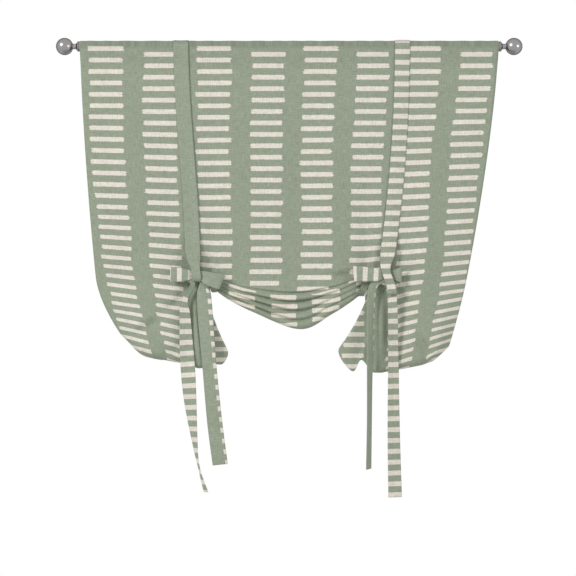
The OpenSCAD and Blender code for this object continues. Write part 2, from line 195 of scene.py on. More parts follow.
def printedCloth():
    material = newMaterial("printedCloth")
    tree = material.node_tree
    across, along = clothPosition(tree)
    column = calc(tree, "DIVIDE", across, dashPrint["columnPitch"])
    columnId = calc(tree, "ROUND", column)
    isEven = calc(tree, "SUBTRACT", 1.0, calc(tree, "FLOORED_MODULO", columnId, 2.0))
    halfStep = calc(tree, "MULTIPLY", isEven, 0.5)  # every second column lies half a step lower
    row = calc(tree, "SUBTRACT", calc(tree, "DIVIDE", along, dashPrint["rowPitch"]), halfStep)
    rowId = calc(tree, "ROUND", row)
    play = randomThree(tree, columnId, rowId)
    x = calc(tree, "MULTIPLY", calc(tree, "SUBTRACT", column, columnId), dashPrint["columnPitch"])
    y = calc(tree, "MULTIPLY", calc(tree, "SUBTRACT", row, rowId), dashPrint["rowPitch"])
    isRight = calc(tree, "GREATER_THAN", x, 0.0)  # each end of a dash has its own length
    jitter = calc(tree, "ADD", calc(tree, "MULTIPLY", isRight, play[0]),
        calc(tree, "MULTIPLY", calc(tree, "SUBTRACT", 1.0, isRight), play[1]))
    shortest = dashPrint["halfLength"] - dashPrint["endPlay"] * 0.5
    half = calc(tree, "MULTIPLY_ADD", jitter, dashPrint["endPlay"], shortest)
    end = calc(tree, "MULTIPLY", isRight, dashPrint["endSeed"])
    end = calc(tree, "MULTIPLY_ADD", columnId, dashPrint["columnSeed"], end)
    drop = calc(tree, "MULTIPLY", along, dashPrint["fringeScale"])
    fringe = noise(tree, joinXyz(tree, end, drop), 1.0)  # brushed ends, with a line of noise for each
    half = calc(tree, "MULTIPLY_ADD", calc(tree, "SUBTRACT", fringe, 0.5), dashPrint["fringe"], half)
    grain = noise(tree, joinXyz(tree, across, along), dashPrint["raggedScale"])
    rough = calc(tree, "SUBTRACT", grain, 0.5)
    corner, soft = dashPrint["corner"], dashPrint["softEdge"]
    overX = calc(tree, "SUBTRACT", calc(tree, "ABSOLUTE", x), calc(tree, "SUBTRACT", half, corner))
    overY = calc(tree, "SUBTRACT", calc(tree, "ABSOLUTE", y), dashPrint["halfHeight"] - corner)
    outX = calc(tree, "MAXIMUM", overX, 0.0)
    outY = calc(tree, "MAXIMUM", overY, 0.0)
    squares = calc(tree, "ADD", calc(tree, "MULTIPLY", outX, outX), calc(tree, "MULTIPLY", outY, outY))
    inside = calc(tree, "MINIMUM", calc(tree, "MAXIMUM", overX, overY), 0.0)
    edge = calc(tree, "SUBTRACT", calc(tree, "ADD", calc(tree, "SQRT", squares), inside), corner)
    edge = calc(tree, "MULTIPLY_ADD", rough, dashPrint["ragged"], edge)
    mask = mapRange(tree, edge, -soft, soft, 1.0, 0.0, True)
    return finishCloth(material, across, along, mask, palette["green"], dashPrint["shadeOverRodAt"])


# Bars across the ties, in millimetres, and the middle of the painted shade over the rod
barPrint = {"pitch": 30.0, "halfHeight": 6.6, "ragged": 1.6, "raggedScale": 0.25, "softEdge": 0.5,
    "shadeOverRodAt": -4.0}
# Where a tie has bars: from start to end along it, between low and high across it at those two places,
# not in the plain length, and moved along it by the shifts (from, to, millimetres)
allOver = {"phase": 0.0, "low": (-40.0, -40.0), "high": (40.0, 40.0), "start": -500.0, "end": 3000.0,
    "plain": (0.0, 0.0), "shifts": []}
tiePrints = {
    "tieTipsLeft": {"phase": 8.0, "high": (-9.0, -15.0), "start": 805.0, "end": 1330.0},
    "tieBarsLeft": {"start": 800.0, "plain": (945.0, 1000.0)},
    "tieBarsRight": {"phase": 6.7, "shifts": [(0.0, 600.0, 2.7), (610.0, 640.0, -9.4), (820.0, 860.0, 3.5)]},
    "tieTipsRight": {"phase": 8.0, "high": (-14.0, -16.0), "start": 930.0, "end": 1190.0},
    "knotBars": {}}


def isBetween(tree, value, low, high):
    above = calc(tree, "GREATER_THAN", value, low)
    return calc(tree, "MULTIPLY", above, calc(tree, "LESS_THAN", value, high))


def printedTie(name):
    bars = {**allOver, **tiePrints[name]}
    start, end = bars["start"], bars["end"]
    material = newMaterial(name)
    tree = material.node_tree
    across, along = clothPosition(tree)
    spot = calc(tree, "SUBTRACT", along, bars["phase"])
    for begin, done, shift in bars["shifts"]:
        spot = calc(tree, "SUBTRACT", spot, mapRange(tree, along, begin, done, 0.0, shift))
    row = calc(tree, "DIVIDE", spot, barPrint["pitch"])
    y = calc(tree, "MULTIPLY", calc(tree, "SUBTRACT", row, calc(tree, "ROUND", row)), barPrint["pitch"])
    grain = noise(tree, joinXyz(tree, across, along), barPrint["raggedScale"])
    rough = calc(tree, "SUBTRACT", grain, 0.5)
    edge = calc(tree, "SUBTRACT", calc(tree, "ABSOLUTE", y), barPrint["halfHeight"])
    lowSide = mapRange(tree, along, start, end, *bars["low"])
    highSide = mapRange(tree, along, start, end, *bars["high"])
    edge = calc(tree, "MAXIMUM", edge, calc(tree, "SUBTRACT", lowSide, across))
    edge = calc(tree, "MAXIMUM", edge, calc(tree, "SUBTRACT", across, highSide))
    edge = calc(tree, "MULTIPLY_ADD", rough, barPrint["ragged"], edge)
    soft = barPrint["softEdge"]
    mask = mapRange(tree, edge, -soft, soft, 1.0, 0.0, True)
    bare = isBetween(tree, along, *bars["plain"])
    shown = calc(tree, "MULTIPLY", isBetween(tree, along, start, end), calc(tree, "SUBTRACT", 1.0, bare))
    mask = calc(tree, "MULTIPLY", mask, shown)
    # the ties' ground is the panel's green painted lighter, as painted light
    return finishCloth(material, across, along, mask, palette["greenTieLit"], barPrint["shadeOverRodAt"])


def plainCloth(name, ground):
    material = newMaterial(name)
    across, along = clothPosition(material.node_tree)
    return finishCloth(material, across, along, None, ground)


metalLook = {"grain": (2500.0, 90.0, 90.0), "roughness": (0.2, 0.32)}
plasticLook = {"grain": 900.0, "roughness": (0.45, 0.6)}
noiseSpan = (0.3, 0.7)  # where most of the noise lies


def nickel():
    material = newMaterial("satinNickel")
    tree = material.node_tree
    shader = tree.nodes["Principled BSDF"]
    place = tree.nodes.new("ShaderNodeTexCoord")
    grain = tree.nodes.new("ShaderNodeMapping")
    grain.inputs["Scale"].default_value = metalLook["grain"]
    tree.links.new(place.outputs["Object"], grain.inputs[0])
    brushed = noise(tree, grain.outputs[0], 1.0)
    tree.links.new(mapRange(tree, brushed, *noiseSpan, *metalLook["roughness"]), shader.inputs["Roughness"])
    shader.inputs["Base Color"].default_value = (*palette["steel"], 1)
    shader.inputs["Specular Tint"].default_value = (*palette["steelRim"], 1)
    shader.inputs["Metallic"].default_value = 1.0
    return material


def blackPlastic():
    material = newMaterial("blackPlastic")
    tree = material.node_tree
    shader = tree.nodes["Principled BSDF"]
    place = tree.nodes.new("ShaderNodeTexCoord")
    grain = noise(tree, place.outputs["Object"], plasticLook["grain"])
    tree.links.new(mapRange(tree, grain, *noiseSpan, *plasticLook["roughness"]), shader.inputs["Roughness"])
    shader.inputs["Base Color"].default_value = (*palette["plug"], 1)
    return material


# A sheet over a grid of points in millimetres, rows from the top of the cloth down
def gridPiece(name, points, uvs, materials, thickness):
    rows, cols = points.shape[:2]
    bm = bmesh.new()
    bmesh.ops.create_grid(bm, x_segments=cols - 1, y_segments=rows - 1, size=0.5)
    layer = bm.loops.layers.uv.new("cloth")
    place = {}
    for vert in bm.verts:
        spot = (round((0.5 - vert.co.y) * (rows - 1)), round((vert.co.x + 0.5) * (cols - 1)))
        place[vert.index] = spot
    for vert in bm.verts:
        vert.co = points[place[vert.index]] * mm
    for face in bm.faces:
        face.smooth = True
        for loop in face.loops:
            loop[layer].uv = uvs[place[loop.vert.index]] * mm
    mesh = bpy.data.meshes.new(name)
    bm.to_mesh(mesh)
    bm.free()
    for material in materials:
        mesh.materials.append(material)
    piece = bpy.data.objects.new(name, mesh)
    scene.collection.objects.link(piece)
    body = piece.modifiers.new("thickness", "SOLIDIFY")
    body.thickness = thickness * mm
    body.offset = 0.0
    body.material_offset = len(materials) - 1
    return piece


def ease(t):
    t = np.clip(t, 0.0, 1.0)
    return t * t * (3.0 - 2.0 * t)


def rise(value, start, width):
    return ease((value - start) / width)


# Smooth curve through stations, without overshoot
def curveAt(points, place):
    s = np.array(points[0], float)
    v = np.array(points[1], float)
    slope = np.diff(v) / np.diff(s)
    tilt = np.empty(len(v))
    tilt[0] = slope[0]
    tilt[-1] = slope[-1]
    a, b = slope[:-1], slope[1:]
    both = a + b
    tilt[1:-1] = np.where(a * b > 0, 2 * a * b / np.where(both == 0, 1, both), 0)
    i = np.clip(np.searchsorted(s, place, side="right") - 1, 0, len(s) - 2)
    w = s[i + 1] - s[i]
    t = (place - s[i]) / w
    return ((1 + 2 * t) * (1 - t) ** 2 * v[i] + t * (1 - t) ** 2 * w * tilt[i]
        + t * t * (3 - 2 * t) * v[i + 1] - t * t * (1 - t) * w * tilt[i + 1])


# The hung cloth, in millimetres: the panel's sizes, where it is gathered and how it hangs
cloth = {"halfWidth": 584, "earDrop": 892, "swagDrop": 790, "tuck": 120, "pocket": 62, "pocketRadius": 15.1,
    "seam": 4, "seamGap": 2.6, "tieDrop": 640, "knotX": 271, "gatherU": 215, "faceY": -17, "leanEdge": 1.4,
    "leanMore": 3, "leanFrom": 100, "hemCurve": 1.7, "billow": 10, "sway": 2.2, "ruffle": 0.35,
    "thickness": 1.0}
# What differs between the left (-1) and the right (1)
sideSizes = {
    -1: {"knotOut": -15, "gatherIn": 49, "gatherDown": 26, "edge": 44, "hemEdge": 112, "earDown": -8,
        "bowIn": 15, "strapOut": 12},
    1: {"knotOut": 15, "gatherIn": 57, "gatherDown": 38, "edge": 88, "hemEdge": 146, "earDown": 8,
        "bowIn": 3, "strapOut": 7}}


def knotX(e):
    return cloth["knotX"] + sideSizes[e]["knotOut"]


def gatherX(e):
    return cloth["knotX"] - sideSizes[e]["gatherIn"]


def gatherZ(e):
    return cloth["tieDrop"] + sideSizes[e]["gatherDown"]


# Places across the flat cloth, from its middle out, where the curves below have their values
def stationsU():
    g, h = cloth["gatherU"], cloth["halfWidth"]
    return [0, 0.55 * g, g - 35, g, g + 24, g + 48, g + 68, g + 90, g + 112, g + 170, (g + 170 + h) / 2, h]


def bothSides(left, right, mirror):
    us = stationsU()
    return [-u for u in us[:0:-1]] + us, [mirror * v for v in left[:0:-1]] + right


def knotsAcross(e):
    g, k, o = gatherX(e), knotX(e), cloth["halfWidth"] - sideSizes[e]["edge"]
    inner = [8, 0.55 * g, g - 32, g, g + 9, g + 16, g + 25]
    return inner + [(g + k) / 2 + 18, k + 16, k + 78, (k + 84 + o) / 2, o]


def hemAcross(e):
    g, k, o = gatherX(e), knotX(e), cloth["halfWidth"] - sideSizes[e]["hemEdge"]
    left = [g - 49, g - 30, g - 6, k - 10, k + 54, (k + 84 + o) / 2, o + 5]
    right = [g - 74, g - 35, g - 11, k - 46, k + 52, (k + 74 + o) / 2, o + 12]
    return [27, 0.53 * g + 8 * e, g - 30, g, g - 5] + (left if e < 0 else right)


def hemDrop(e):
    g, w, d = gatherZ(e), cloth["swagDrop"], cloth["earDrop"] + sideSizes[e]["earDown"]
    left = [d - 28, d + 4, d + 2, d + 12, d - 1, d - 17, d - 72]
    right = [d - 49, d + 7, d - 25, d + 11, d - 3, d - 18, d - 58]
    return [w, g + 0.6 * (w - g), g + 26, g, g + 0.45 * (d - g)] + (left if e < 0 else right)


def even(values):
    return bothSides(values, values, 1)


knotDrop, tuck = cloth["tieDrop"] + 5, cloth["tuck"]
shape = {
    "knotX": bothSides(knotsAcross(-1), knotsAcross(1), -1),
    "hemX": bothSides(hemAcross(-1), hemAcross(1), -1),
    "hemZ": bothSides(hemDrop(-1), hemDrop(1), 1),
    "knotZ": even([knotDrop + more for more in (32, 20, 1, -8, -4, 0, 0, 0, 0, 0, 0, 0)]),
    "knotY": even([-20, -21, -20, -8, -14, -19, -17, -15, -15, -24, -18, -8]),
    "hemY": bothSides([-34, -32, -18, 5, 2, -20, -26, -36, -39, -43, -37, -6],
        [-34, -32, -18, 5, 2, -20, -22, -26, -26, -40, -36, -6], 1),
    "roll": even([15, 14, 8, 4, 3.5, 5, 6, 6, 10, 26, 26, 18]),
    "tuck": even([0.8 * tuck, 0.72 * tuck, 20, 8, 8, 10, 16, 16, 0.6 * tuck, tuck, tuck, 0.9 * tuck]),
    "folds": even([1, 0.9, 0.42, 0.16, 0, 0, 0, 0, 0, 0, 0, 0]),
}


def at(name, u):
    return curveAt(shape[name], u)


def upperX(u, f):
    start = cloth["gatherU"] + cloth["leanFrom"]
    lean = cloth["leanEdge"] + cloth["leanMore"] * (1 - rise(np.abs(u), start, cloth["halfWidth"] - start))
    return u + (at("knotX", u) - u) * f ** lean


# Soft waves of the hanging cloth, which fade towards the rod and the bows
def sway(u, f):
    grow = rise(f, 0.1, 0.5) * (1 - 0.6 * rise(f, 0.7, 0.3))
    waves = 0.7 * np.sin(0.0205 * u + 0.9 + 0.8 * f) + 0.45 * np.sin(0.047 * u - 1.1 * f)
    return cloth["sway"] * grow * waves


def upperY(u, f):
    z = f * at("knotZ", u)
    q = rise(z, cloth["pocket"], cloth["tieDrop"] - cloth["pocket"])
    turn = (1 + np.cos(np.pi * np.minimum(1, z / cloth["pocket"]))) / 2
    hang = -(cloth["seam"] + (cloth["pocketRadius"] - cloth["seam"]) * turn) * (1 - q) + cloth["faceY"] * q
    wave = cloth["billow"] * f * (1 - f) * q * np.sin(np.radians(u * 1.5 + 40))
    return hang + (at("knotY", u) - cloth["faceY"]) * f ** 4 + wave + sway(u, f)


def upper(u, f):
    return np.stack([upperX(u, f), upperY(u, f), -at("knotZ", u) * f], -1)


def fall(u):
    return at("hemZ", u) - at("roll", u) - at("knotZ", u)


# Folds of the swag: depth and the fall that gives it in full, then shares of the fall and the folds' shape
swagFold = {"depth": 8, "fullFall": 90, "start": 0.16, "phase": 0.075, "pitch": 0.26, "slant": 0.12,
    "ridge": 0.65}


def foldWave(u, t):
    stray = 0.45 * np.sin(0.011 * u + 1.3) + 0.3 * np.sin(0.031 * u + 5 * t)
    turns = (t - swagFold["phase"]) / swagFold["pitch"]
    angle = 2 * np.pi * turns + np.radians(u * swagFold["slant"]) + stray * t
    valley = 0.5 - 0.5 * np.sin(angle + 0.5 * np.sin(angle))
    wave = 1 - 2 * valley ** swagFold["ridge"]  # broad ridges, narrow valleys
    return wave * (0.85 + 0.3 * np.sin(0.017 * u + 4 * t))


def lower(u, t, folds):
    xk, xb, n = at("knotX", u), at("hemX", u), fall(u)
    m = cloth["leanEdge"] * (xk - u) / cloth["tieDrop"] * n  # goes on as the edge above it leans
    deep = swagFold["depth"] * np.minimum(1, n / swagFold["fullFall"]) * at("folds", u)
    deep = deep * ease(t / swagFold["start"])
    y = at("knotY", u) + (at("hemY", u) - at("knotY", u)) * ease(t)
    y = y + folds * deep * foldWave(u, t) + sway(u, 1.0) * (1 - t)
    return np.stack([xk + m * t + (xb - xk - m) * t ** cloth["hemCurve"], y, -at("knotZ", u) - n * t], -1)


def turnUnder(u, a):
    way = lower(u, 1.0, 0) - lower(u, 0.96, 0)  # how the cloth runs into the hem
    way[:, 1] = 0
    way /= np.linalg.norm(way, axis=1)[:, None]
    r = at("roll", u)[:, None]
    return lower(u, 1.0, 1) + r * (1 - np.cos(a)) * np.array([0, 1, 0]) + r * np.sin(a) * way


def tucked(u, q):
    n = fall(u)
    t = 1 - q * np.minimum(at("tuck", u), 0.9 * n) / n
    f, e, g = lower(u, t, 0), lower(u, 1.0, 0), lower(u, 1.0, 1)
    return np.stack([f[:, 0], g[:, 1] + 2 * at("roll", u) + 0.5 * (f[:, 1] - e[:, 1]), f[:, 2]], -1)


def pocketBack(u, s):
    w = (1 + np.cos(np.pi * s)) / 2
    y = cloth["pocketRadius"] * w + (cloth["seamGap"] - cloth["seam"]) * (1 - w)
    x = upperX(u, s * cloth["pocket"] / at("knotZ", u))
    return np.stack([x, np.full_like(u, y), np.full_like(u, -s * cloth["pocket"])], -1)


def overRod(u, a):
    ruffle = cloth["ruffle"] * (1 + np.sin(0.11 * u + 1.5 * np.sin(0.023 * u))) * math.sin(a)
    r = cloth["pocketRadius"] + ruffle
    return np.stack([u, r * math.cos(a), r * math.sin(a)], -1)


# Points of the panel's grid: columns in the spans of one half, the stations where those end, rows in each
# part, and how much closer the rows get towards the bows
panelMesh = {"columns": (26, 36, 28, 24, 24), "ends": (0, 2, 5, 8, 9, 11), "pocketBack": 7, "overRod": 15,
    "pocketFront": 9, "upper": 45, "closer": 1.5, "lower": 77, "turn": 12, "tuck": 13}


def spaced(*spans):
    out = [np.linspace(a, b, n, endpoint=False) for a, b, n in spans]
    return np.concatenate(out + [[spans[-1][1]]])


# Each row has its points and its way down: -1 to 0 above the bows, 0 to 1 below them, 2 behind
def panelRows(u):
    n = panelMesh
    q = cloth["pocket"] / at("knotZ", u)
    rows = [(pocketBack(u, s), -1.0) for s in np.linspace(1, 0, n["pocketBack"])[:-1]]
    rows += [(overRod(u, a), -1.0) for a in np.linspace(0, np.pi, n["overRod"])[:-1]]
    first = len(rows)
    rows += [(upper(u, s * q), -1.0) for s in np.linspace(0, 1, n["pocketFront"])]
    downUpper = 1 - np.linspace(1, 0, n["upper"])[1:] ** n["closer"]
    rows += [(upper(u, q + (1 - q) * s), s - 1.0) for s in downUpper]
    rows += [(lower(u, t, 1), t) for t in np.linspace(0, 1, n["lower"])[1:]]
    last = len(rows) - 1
    rows += [(turnUnder(u, a), 2.0) for a in np.linspace(0, np.pi, n["turn"])[1:]]
    rows += [(tucked(u, s), 2.0) for s in np.linspace(0, 1, n["tuck"])[1:]]
    return np.array([r[0] for r in rows]), np.array([r[1] for r in rows]), first, last


# Where the print lies on the hung cloth: dash columns at some drops, numbered from the left
columnNumbers = [-4, -3, -2, -1, 0, 1, 2, 3, 4, 5]
lowNumbers = [-4, -3, -2, -1.69, -1.31, -1, -0.69, 1.69, 2.31, 2.68, 3, 4, 5]
columnLines = [
    (60, [-665, -513, -361, -209.5, -57.5, 85.5, 235, 376, 521.5, 665], columnNumbers),
    (300, [-655, -507.5, -360.5, -213, -63, 75.5, 219.5, 354, 492.5, 632], columnNumbers),
    (590, [-612, -481, -345.5, -201.5, -65.5, 78.5, 212.5, 341, 469.5, 583], columnNumbers),
    (650, [-592.5, -471, -339.5, -203.5, -69.5, 69, 213, 332.5, 461, 568.5], columnNumbers),
    (717, [-571, -460, -333, -295, -243, -206, -165, 150, 209, 280, 323, 452, 552], lowNumbers),
    (840, [-541, -422, -312, -276, -243, -206, -165, 150, 209, 275, 313, 422, 521], lowNumbers),
    (900, [-522, -403, -297, -264, -243, -206, -165, 150, 209, 265, 300, 408, 505], lowNumbers)]
# Rows of dashes down two upright lines a side: distance out, drops, row numbers
rowLines = {
    -1: ((328, [7.6, 439, 590, 675, 781, 879, 990], [0, 13.5, 18.5, 21.5, 25.5, 29.5, 34]),
        (479, [7.6, 450, 591, 668, 718, 762, 850], [0, 14, 19, 22, 24, 26, 30])),
    1: ((332, [7.6, 453, 605, 720, 824, 896, 990], [0, 14, 19, 23, 27, 30, 34]),
        (449, [7.6, 432, 580, 662, 735, 780, 850], [0, 13.5, 18.5, 21.5, 24.5, 26.5, 30]))}
# Steps of the rows: down the upper part, in the flares beside the bows, and in the swag
rowPrint = {"first": 7.6, "pitch": 31.98, "under": 28.0, "topRow": -0.25, "bareOver": 24, "earFrom": 200,
    "earBlend": (100, 150), "flareLeft": (787.7, 28.9, 25.0), "flareRight": (804.0, 29.7, 25.5),
    "flareInner": (215, 25), "flareOuter": (325, 30), "flareBlend": (0.02, 0.2), "leastFall": 60}
swagPrint = {"middle": 31.0, "squeezeLeft": 0.773, "squeezeRight": 0.82, "wide": 0.35, "firstRow": 21,
    "blend": 0.04, "outer": (195, 30), "start": ([-90, -40, 30, 75], [0.195, 0.1, 0.1, 0.225]),
    "top": ([-190, -129, -60, -17, 60, 103, 150, 190], [660, 676.7, 687, 689, 689, 688, 681, 672]),
    "pitch": ([-190, -129, -17, 103, 190], [21, 22.4, 25.6, 24, 21])}


def columnAt(x, drop):
    out = np.interp(x, *columnLines[0][1:])
    for above, line in zip(columnLines[:-1], columnLines[1:]):
        way = np.clip((drop - above[0]) / (line[0] - above[0]), 0, 1)
        out = out + (np.interp(x, *line[1:]) - out) * way
    return out


def rowAt(x, drop, n):
    for e in (-1, 1):
        near, far = rowLines[e]
        a = np.interp(drop, *near[1:])
        b = np.interp(drop, *far[1:])
        beyond = (e * x - near[0]) / (far[0] - near[0])
        toEar = np.clip((e * x - rowPrint["earFrom"]) / (near[0] - rowPrint["earFrom"]), 0, 1)
        ear = np.where(beyond > 0, a + (b - a) * beyond, n + (a - n) * toEar)
        n = n + (ear - n) * rise(drop, *rowPrint["earBlend"])
    return n


# Where each point of the panel lies on the flat print
def panelPrint(points, ways, first, last, u):
    step = np.linalg.norm(np.diff(points, axis=0), axis=2)
    down = np.concatenate([np.zeros((1, len(u))), np.cumsum(step, axis=0)])
    down -= down[first]
    x, drop = points[:, :, 0], -points[:, :, 2]
    n = (down - rowPrint["first"]) / rowPrint["pitch"]
    behind = np.minimum(0, (down + rowPrint["bareOver"]) / rowPrint["pitch"])
    overTop = np.maximum(n, rowPrint["topRow"]) + behind  # bare above the rod
    n = rowAt(x, drop, np.where(down < 0, overTop, n))
    side = np.abs(u)
    t = np.repeat(ways[:, None], len(u), 1)
    t[last:] = 1 + (down[last:] - down[last]) / np.maximum(fall(u), rowPrint["leastFall"])
    flares = zip(rowPrint["flareLeft"], rowPrint["flareRight"])
    base, pitch, number = [np.where(u < 0, left, right) for left, right in flares]
    inFlare = rise(side, *rowPrint["flareInner"]) * (1 - rise(side, *rowPrint["flareOuter"]))
    inFlare = rise(t, *rowPrint["flareBlend"]) * inFlare
    n = n + (number + (drop - base) / pitch - n) * inFlare
    k = columnAt(x, drop)
    start = np.interp(x, *swagPrint["start"])
    inSwag = rise(t, start - swagPrint["blend"] / 2, swagPrint["blend"])
    inSwag = inSwag * (1 - rise(side, *swagPrint["outer"]))
    out = x - swagPrint["middle"]
    spot = out / np.where(out < 0, swagPrint["squeezeLeft"], swagPrint["squeezeRight"])
    k = k + (np.interp(spot, *columnLines[0][1:]) - k) * inSwag
    oddEven = 1 - 2 * (1 - np.mod(np.round(k), 2))
    row = (drop - np.interp(x, *swagPrint["top"])) / np.interp(x, *swagPrint["pitch"])
    row = row - oddEven * swagPrint["wide"] * np.sin(2 * np.pi * row) / (2 * np.pi)
    n = n + (swagPrint["firstRow"] + row - n) * inSwag
    n[last:] = n[last] + (down[last:] - down[last]) / rowPrint["under"]  # goes on where the hem turns up
    return np.stack([k * dashPrint["columnPitch"], n * dashPrint["rowPitch"]], -1)


# Soft dents and pleats: place, half length, half width, slope, depth (a pleat's is negative)
dents = [(-392, -780, 45, 13, 32, 13), (376, -842, 42, 14, -52, 13), (-470, -640, 60, 22, 70, 3),
    (440, -650, 60, 22, -72, 3), (-324, -722, 28, 12, 25, 8), (-324, -850, 34, 13, 30, 8),
    (345, -622, 42, 9, -6, 6), (-258, -780, 85, 11, 93.5, -13), (257, -770, 95, 13, 90, -12),
    (148, -637, 46, 6, 3, 10)]
# Small creases that run out from the knots; dents lie only before frontY
crease = {"height": 1.5, "reach": 95.0, "clear": 30.0, "count": 11, "frontY": -12}


def creases(points):
    x, y, z = points[:, :, 0], points[:, :, 1], points[:, :, 2]
    front = y < crease["frontY"]
    out = np.zeros(points.shape[:2])
    for dentX, dentZ, long, wide, slope, depth in dents:
        c, s = math.cos(math.radians(slope)), math.sin(math.radians(slope))
        along = (x - dentX) * c + (z - dentZ) * s
        across = (z - dentZ) * c - (x - dentX) * s
        out -= depth * front * np.exp(-(along / long) ** 2 - (across / wide) ** 2)
    for e in (-1, 1):
        dx, dz = x - e * knotX(e), z + cloth["tieDrop"]
        r, angle = np.hypot(dx, dz), np.arctan2(dz, dx)
        fade = np.exp(-(r / crease["reach"]) ** 2) * ease(r / crease["clear"])
        out += crease["height"] * fade * np.sin(crease["count"] * angle + 1.5 * np.sin(3 * angle + e))
    return out


def buildPanel():
    stations = stationsU()
    ends = [stations[i] for i in panelMesh["ends"]]
    half = spaced(*zip(ends[:-1], ends[1:], panelMesh["columns"]))
    u = np.concatenate([-half[:0:-1], half])
    points, ways, first, last = panelRows(u)
    uvs = panelPrint(points, ways, first, last, u)
    down = np.gradient(points, axis=0)
    side = np.gradient(points, axis=1)
    normal = np.cross(side, -down)
    normal /= np.maximum(np.linalg.norm(normal, axis=2), 1e-6)[:, :, None]
    points = points + normal * creases(points)[:, :, None]
    looks = [printedCloth(), plainCloth("clothBack", palette["green"])]
    panel = gridPiece("curtainPanel", points, uvs, looks, cloth["thickness"])
    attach(panel, mainBody)
    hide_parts("curtain_panel")


# Ties, in millimetres: the ribbon's section, its seat on the header, how the straps hang and where they end
tie = {"width": 42, "thickness": 1.4, "crown": 0.8, "pleat": 1.4, "across": 12, "spacing": 4.0, "offset": 2.4,
    "tilt": 1.0, "seat": 309, "seatShift": 7, "swing": 0.96, "swingStop": 40, "curveDrop": 574,
    "frontEnd": -520, "backEnd": -540, "backIn": 12, "knotFace": -25, "keyWidth": 42, "keySteps": 8,
    "faceTries": 5, "smoothing": 2, "overAngle": 70, "overSteps": 8, "dropSteps": 24}


def bowX(e):
    return cloth["knotX"] - sideSizes[e]["bowIn"]


# The front of the panel at a place; the loop finds the place on the flat cloth
def panelFace(x, z):
    u = np.array([x], float)
    for tries in range(tie["faceTries"]):
        u = x - (upperX(u, -z / at("knotZ", u)) - u)
    return float(upperY(u, -z / at("knotZ", u))[0])


# A frame is the ribbon's middle and half its width as a vector
def overFrame(e, a, k):
    r = cloth["pocketRadius"] + tie["offset"]
    x = e * tie["seat"] + tie["seatShift"]
    return [x, k * r * math.cos(a), r * math.sin(a), -e * tie["width"] / 2, 0, 0]


# The right front strap leans in more and more; the others swing across and end upright
def dropX(e, z, x1, front):
    x0 = e * tie["seat"] + tie["seatShift"]
    if front and e > 0:
        way = (z / tie["curveDrop"]) ** 2
    else:
        way = tie["swing"] * float(ease(-z / (cloth["tieDrop"] - tie["swingStop"])))
    return x0 + (x1 - x0) * way


def frontFrame(e, z, x1):
    x, w = dropX(e, z, x1, True), tie["width"] / 2
    a, b, c = panelFace(x - w, z), panelFace(x + w, z), panelFace(x, z)
    return [x, min((a + b) / 2, c) - tie["offset"], z, -e * w, -e * (b - a) / 2 - tie["tilt"], 0]


def behindY(x, z):
    if -z < cloth["pocket"]:
        return max(float(pocketBack(np.zeros(1), -z / cloth["pocket"])[0, 1]), panelFace(x, z))
    return max(panelFace(x, z), cloth["seamGap"] - cloth["seam"])


def backFrame(e, z, x1):
    x, w = dropX(e, z, x1, False), tie["width"] / 2
    a, b, c = behindY(x - w, z), behindY(x + w, z), behindY(x, z)
    return [x, max((a + b) / 2, c) + tie["offset"], z, -e * w, -e * (b - a) / 2, 0]


# Keys are [inward, forward of the cloth, up, width, turn, twist] from the knot's middle;
# their widths are for a tie of keyWidth
def keyFrame(e, key):
    inward, forward, up, width, turn, twist = key
    c, s = math.cos(math.radians(turn)), math.sin(math.radians(turn))
    ct, st = math.cos(math.radians(twist)), math.sin(math.radians(twist))
    w = width * tie["width"] / (2 * tie["keyWidth"])
    middle = [e * (bowX(e) - inward), tie["knotFace"] - forward, -cloth["tieDrop"] + up]
    return middle + [-w * e * c * ct, w * st, w * s * ct]


# A smooth curve through the keys, with n steps from each to the next
def bendKeys(keys, n):
    k = np.array(keys, float)
    m = len(k) - 1
    out = []
    for i in range(m):
        a, b, c, d = k[max(i - 1, 0)], k[i], k[i + 1], k[min(i + 2, m)]
        for j in range(n):
            t = j / n
            out.append(0.5 * (2 * b + (c - a) * t + (2 * a - 5 * b + 4 * c - d) * t ** 2
                + (3 * b - a - 3 * c + d) * t ** 3))
    return out + [k[m]]


# The front tie comes down to the knot and makes the inner loop
def frontKeys(loop, tilt, strap):
    s = math.tan(math.radians(tilt))
    return [[strap[0], 5, 66, 42, 0, 0], [strap[1], 9.5, 44, 36, 0, 0], [strap[2], 14, 26, 25, 5, 0],
        [strap[3], 16.5, 9, 19, 45, 0], [6, 17, 1, 20, 90 + tilt / 2, 0],
        [15, 20, 8 * s, 29, 90 + 0.7 * tilt, 0], [32, 24, 32 * s, 37, 90 + tilt, 0],
        [loop - 7, 25.5, (loop - 7) * s, 42, 86 + tilt, 0], [loop, 20.5, loop * s, 42, 80 + tilt, 0],
        [loop - 7, 15.5, (loop - 7) * s, 42, 86 + tilt, 0], [40, 14, 40 * s, 38, 90 + tilt, 0]]


# The back tie comes up round the gather and makes the outer loop
def backKeys(e, loop):
    w, v = bowX(e) - gatherX(e) + tie["backIn"], gatherZ(e) - cloth["tieDrop"]
    return [[w, -50, 20, 28, 0, 0], [w, -49, -16, 20, 0, 0], [w, -45, -v - 6, 15, 0, 0],
        [w, -31, -v - 19, 15, 0, 0], [w, -14, -v - 18, 15, 0, 0], [w - 2, -3, -v - 5, 16, 8, 0],
        [w - 10, 3, -v / 2 - 8, 18, 28, 0], [34, 6, -12, 20, 50, 0], [17, 9, -3, 19, 78, 0],
        [0, 10, 0, 18, 90, 0], [-15, 11.5, 1, 22, 90, 0], [-28, 17, 1, 32, 90, 0],
        [-loop + 6, 20, 2, 42, 90, 0], [-loop, 15.5, 2, 42, 90, 0], [-loop + 6, 10.5, 2, 42, 90, 0]]


